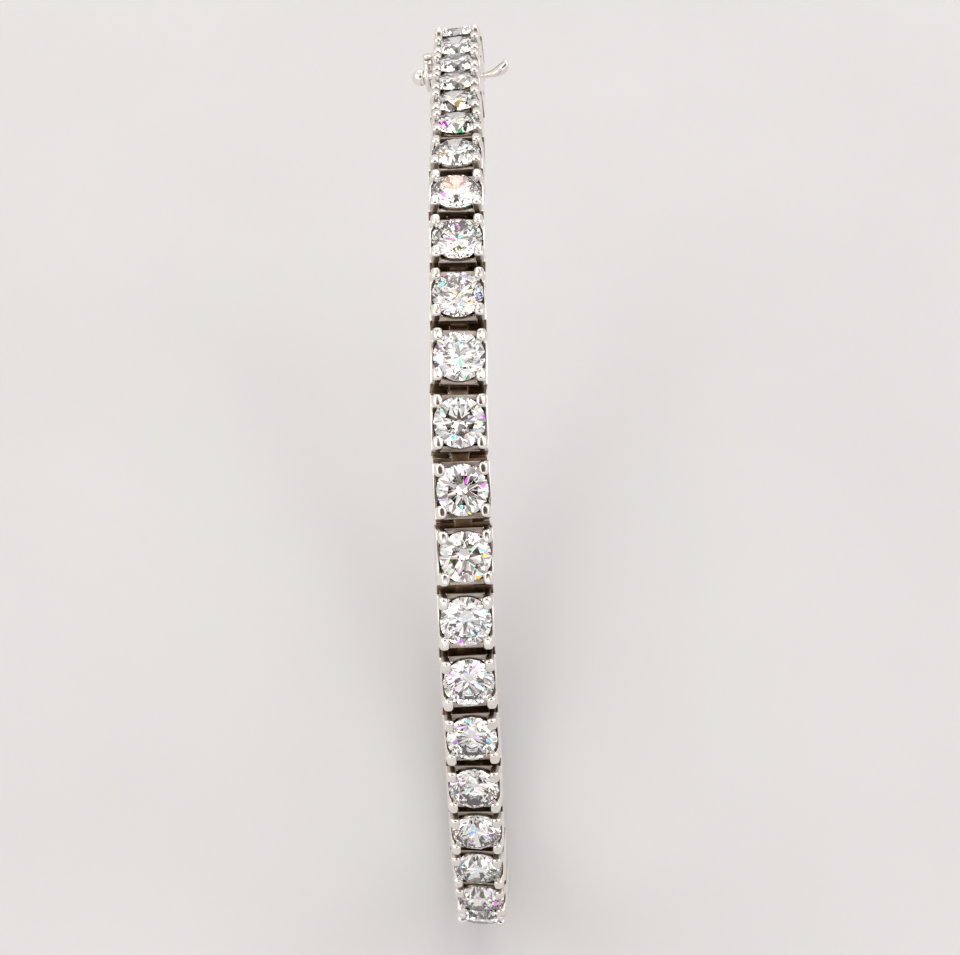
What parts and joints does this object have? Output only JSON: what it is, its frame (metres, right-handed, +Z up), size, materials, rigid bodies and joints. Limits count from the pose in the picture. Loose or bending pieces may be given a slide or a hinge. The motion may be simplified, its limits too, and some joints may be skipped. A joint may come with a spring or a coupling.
{
  "type": "tennis bracelet",
  "caption": "Closed loop of square box links, each with one round stone in four prongs, with a box clasp, thumb tab and safety catch.",
  "frame": {"origin": "highest point of the hollow, on the skin side of the topmost link, where the wrist carries the bracelet", "axes": "+X along the wrist, to the right of the viewer; -Y towards the viewer; +Z up; the loop stands in the Y-Z plane"},
  "size_m": [0.0074, 0.0692, 0.0534],
  "materials": {
    "white_gold": "polished, warm",
    "diamond": "clear, cut in facets"
  },
  "bodies": {
    "root": {"link_01": "white_gold", "link_02": "white_gold", "link_03": "white_gold", "link_04": "white_gold", "link_05": "white_gold", "link_06": "white_gold", "link_07": "white_gold", "link_08": "white_gold", "link_09": "white_gold", "link_10": "white_gold", "link_11": "white_gold", "link_12": "white_gold", "link_13": "white_gold", "link_14": "white_gold", "link_15": "white_gold", "link_16": "white_gold", "link_17": "white_gold", "link_18": "white_gold", "link_19": "white_gold", "link_20": "white_gold", "link_21": "white_gold", "link_22": "white_gold", "link_23": "white_gold", "link_24": "white_gold", "link_25": "white_gold", "link_26": "white_gold", "link_27": "white_gold", "link_28": "white_gold", "link_29": "white_gold", "link_30": "white_gold", "link_31": "white_gold", "link_32": "white_gold", "link_33": "white_gold", "link_34": "white_gold", "link_35": "white_gold", "link_36": "white_gold", "link_37": "white_gold", "link_38": "white_gold", "link_39": "white_gold", "clasp_box": "white_gold", "clasp_tongue": "white_gold"},
    "safety_catch": {"safety_catch": "white_gold"}
  },
  "joints": [
    {"name": "safety_catch_hinge", "type": "hinge", "parent": "root", "child": "safety_catch", "pos_m": [-0.00245, 0.02423, -0.00789], "axis": [0.1216, -0.4067, -0.9054], "range_deg": [0, 110]}
  ]
}
